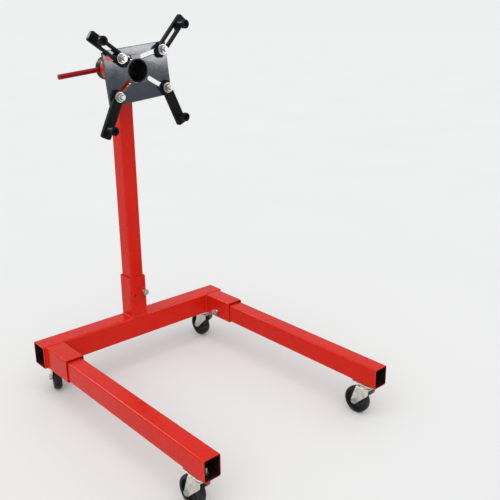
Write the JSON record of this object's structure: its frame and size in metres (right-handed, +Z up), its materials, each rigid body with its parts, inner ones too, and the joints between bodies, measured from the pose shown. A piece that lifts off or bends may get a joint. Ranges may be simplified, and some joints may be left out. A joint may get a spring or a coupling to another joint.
{
  "type": "engine stand",
  "caption": "Rolling engine stand: U-shaped tube base on swivel casters, upright post, and a rotating slotted head plate with adjustable mounting arms.",
  "frame": {"origin": "on the floor, under the middle of the stand's footprint", "axes": "+Z up, -Y towards the open ends of the legs and the engine, +X towards the right of someone looking along +Y at the head plate"},
  "size_m": [0.636, 0.793, 1.0345],
  "materials": {
    "red_paint": "gloss powder coat",
    "black_paint": "gloss black paint",
    "zinc": "zinc plated",
    "wheel_polymer": "moulded, slightly polished tread"
  },
  "bodies": {
    "base": {"cross_beam": "red_paint", "left_leg_socket": "red_paint", "right_leg_socket": "red_paint", "left_clamp_nut": "zinc", "right_clamp_nut": "zinc", "post_socket": "red_paint", "post": "red_paint", "post_bolt": "zinc", "post_nut": "zinc", "head_sleeve": "red_paint", "rear_left_caster_plate": "zinc", "rear_left_caster_bolt_a": "zinc", "rear_left_caster_bolt_b": "zinc", "rear_right_caster_plate": "zinc", "rear_right_caster_bolt_a": "zinc", "rear_right_caster_bolt_b": "zinc"},
    "left_leg": {"left_leg": "red_paint", "front_left_caster_plate": "zinc", "front_left_caster_bolt_a": "zinc", "front_left_caster_bolt_b": "zinc"},
    "right_leg": {"right_leg": "red_paint", "front_right_caster_plate": "zinc", "front_right_caster_bolt_a": "zinc", "front_right_caster_bolt_b": "zinc"},
    "left_clamp_bolt": {"left_clamp_bolt": "zinc"},
    "right_clamp_bolt": {"right_clamp_bolt": "zinc"},
    "lock_pin": {"lock_pin": "zinc"},
    "head": {"spindle": "black_paint", "spindle_collar": "black_paint", "mounting_plate": "black_paint"},
    "handle_bar": {"handle_bar": "red_paint"},
    "upper_left_bolt": {"upper_left_arm_bolt": "zinc"},
    "upper_left_pivot": {"upper_left_arm_nut": "zinc"},
    "upper_left_arm": {"upper_left_arm": "black_paint", "upper_left_arm_tube": "black_paint"},
    "upper_right_bolt": {"upper_right_arm_bolt": "zinc"},
    "upper_right_pivot": {"upper_right_arm_nut": "zinc"},
    "upper_right_arm": {"upper_right_arm": "black_paint", "upper_right_arm_tube": "black_paint"},
    "lower_right_bolt": {"lower_right_arm_bolt": "zinc"},
    "lower_right_arm": {"lower_right_arm": "black_paint", "lower_right_arm_tube": "black_paint", "lower_right_arm_nut": "zinc"},
    "lower_left_bolt": {"lower_left_arm_bolt": "zinc"},
    "lower_left_arm": {"lower_left_arm": "black_paint", "lower_left_arm_tube": "black_paint", "lower_left_arm_nut": "zinc"},
    "front_left_fork": {"front_left_fork": "zinc", "front_left_axle": "zinc"},
    "front_left_wheel": {"front_left_wheel": "wheel_polymer"},
    "front_right_fork": {"front_right_fork": "zinc", "front_right_axle": "zinc"},
    "front_right_wheel": {"front_right_wheel": "wheel_polymer"},
    "rear_left_fork": {"rear_left_fork": "zinc", "rear_left_axle": "zinc"},
    "rear_left_wheel": {"rear_left_wheel": "wheel_polymer"},
    "rear_right_fork": {"rear_right_fork": "zinc", "rear_right_axle": "zinc"},
    "rear_right_wheel": {"rear_right_wheel": "wheel_polymer"}
  },
  "joints": [
    {"name": "head_spin", "type": "hinge", "parent": "base", "child": "head", "pos_m": [0, 0.3, 0.894], "axis": [0, 1, 0], "continuous": true},
    {"name": "lock_pin_slide", "type": "slide", "parent": "base", "child": "lock_pin", "axis": [0, 0, -1], "range_m": [0, 0.006]},
    {"name": "handle_slide", "type": "slide", "parent": "head", "child": "handle_bar", "axis": [-0.9945, 0, -0.1045], "range_m": [-0.08, 0.02]},
    {"name": "left_leg_slide", "type": "slide", "parent": "base", "child": "left_leg", "axis": [0, -1, 0], "range_m": [0, 0.06]},
    {"name": "right_leg_slide", "type": "slide", "parent": "base", "child": "right_leg", "axis": [0, -1, 0], "range_m": [0, 0.06]},
    {"name": "left_clamp_bolt_slide", "type": "slide", "parent": "base", "child": "left_clamp_bolt", "axis": [1, 0, 0], "range_m": [0, 0.008]},
    {"name": "right_clamp_bolt_slide", "type": "slide", "parent": "base", "child": "right_clamp_bolt", "axis": [-1, 0, 0], "range_m": [0, 0.008]},
    {"name": "upper_left_bolt_slide", "type": "slide", "parent": "head", "child": "upper_left_bolt", "axis": [-0.9987, 0, 0.0503], "range_m": [-0.002, 0.0321]},
    {"name": "upper_left_arm_swing", "type": "hinge", "parent": "upper_left_bolt", "child": "upper_left_pivot", "pos_m": [-0.0559, 0.2225, 0.92834], "axis": [0, -1, 0], "range_deg": [-30, 30]},
    {"name": "upper_left_arm_reach", "type": "slide", "parent": "upper_left_pivot", "child": "upper_left_arm", "axis": [-0.8192, 0, 0.5736], "range_m": [-0.02, 0.009]},
    {"name": "upper_right_bolt_slide", "type": "slide", "parent": "head", "child": "upper_right_bolt", "axis": [0.9665, 0, 0.2568], "range_m": [-0.016, 0.0062]},
    {"name": "upper_right_arm_swing", "type": "hinge", "parent": "upper_right_bolt", "child": "upper_right_pivot", "pos_m": [0.07258, 0.2225, 0.94587], "axis": [0, -1, 0], "range_deg": [-30, 30]},
    {"name": "upper_right_arm_reach", "type": "slide", "parent": "upper_right_pivot", "child": "upper_right_arm", "axis": [0.6691, 0, 0.7431], "range_m": [-0.02, 0.003]},
    {"name": "lower_right_bolt_slide", "type": "slide", "parent": "head", "child": "lower_right_bolt", "axis": [0.8728, 0, -0.4881], "range_m": [-0.016, 0.0066]},
    {"name": "lower_right_arm_swing", "type": "hinge", "parent": "lower_right_bolt", "child": "lower_right_arm", "pos_m": [0.08392, 0.2225, 0.84547], "axis": [0, -1, 0], "range_deg": [-30, 30]},
    {"name": "lower_left_bolt_slide", "type": "slide", "parent": "head", "child": "lower_left_bolt", "axis": [-0.7522, 0, -0.6589], "range_m": [-0.011, 0.0109]},
    {"name": "lower_left_arm_swing", "type": "hinge", "parent": "lower_left_bolt", "child": "lower_left_arm", "pos_m": [-0.06871, 0.2225, 0.83196], "axis": [0, -1, 0], "range_deg": [-30, 30]},
    {"name": "front_left_swivel", "type": "hinge", "parent": "left_leg", "child": "front_left_fork", "pos_m": [-0.283, -0.3505, 0.086], "axis": [0, 0, 1], "continuous": true},
    {"name": "front_left_roll", "type": "hinge", "parent": "front_left_fork", "child": "front_left_wheel", "pos_m": [-0.283, -0.3235, 0.0375], "axis": [1, 0, 0], "continuous": true},
    {"name": "front_right_swivel", "type": "hinge", "parent": "right_leg", "child": "front_right_fork", "pos_m": [0.283, -0.3505, 0.086], "axis": [0, 0, 1], "continuous": true},
    {"name": "front_right_roll", "type": "hinge", "parent": "front_right_fork", "child": "front_right_wheel", "pos_m": [0.283, -0.3235, 0.0375], "axis": [1, 0, 0], "continuous": true},
    {"name": "rear_left_swivel", "type": "hinge", "parent": "base", "child": "rear_left_fork", "pos_m": [-0.272, 0.3265, 0.086], "axis": [0, 0, 1], "continuous": true},
    {"name": "rear_left_roll", "type": "hinge", "parent": "rear_left_fork", "child": "rear_left_wheel", "pos_m": [-0.26277, 0.35187, 0.0375], "axis": [0.9397, -0.342, 0], "continuous": true},
    {"name": "rear_right_swivel", "type": "hinge", "parent": "base", "child": "rear_right_fork", "pos_m": [0.272, 0.3265, 0.086], "axis": [0, 0, 1], "continuous": true},
    {"name": "rear_right_roll", "type": "hinge", "parent": "rear_right_fork", "child": "rear_right_wheel", "pos_m": [0.272, 0.3535, 0.0375], "axis": [1, 0, 0], "continuous": true}
  ]
}
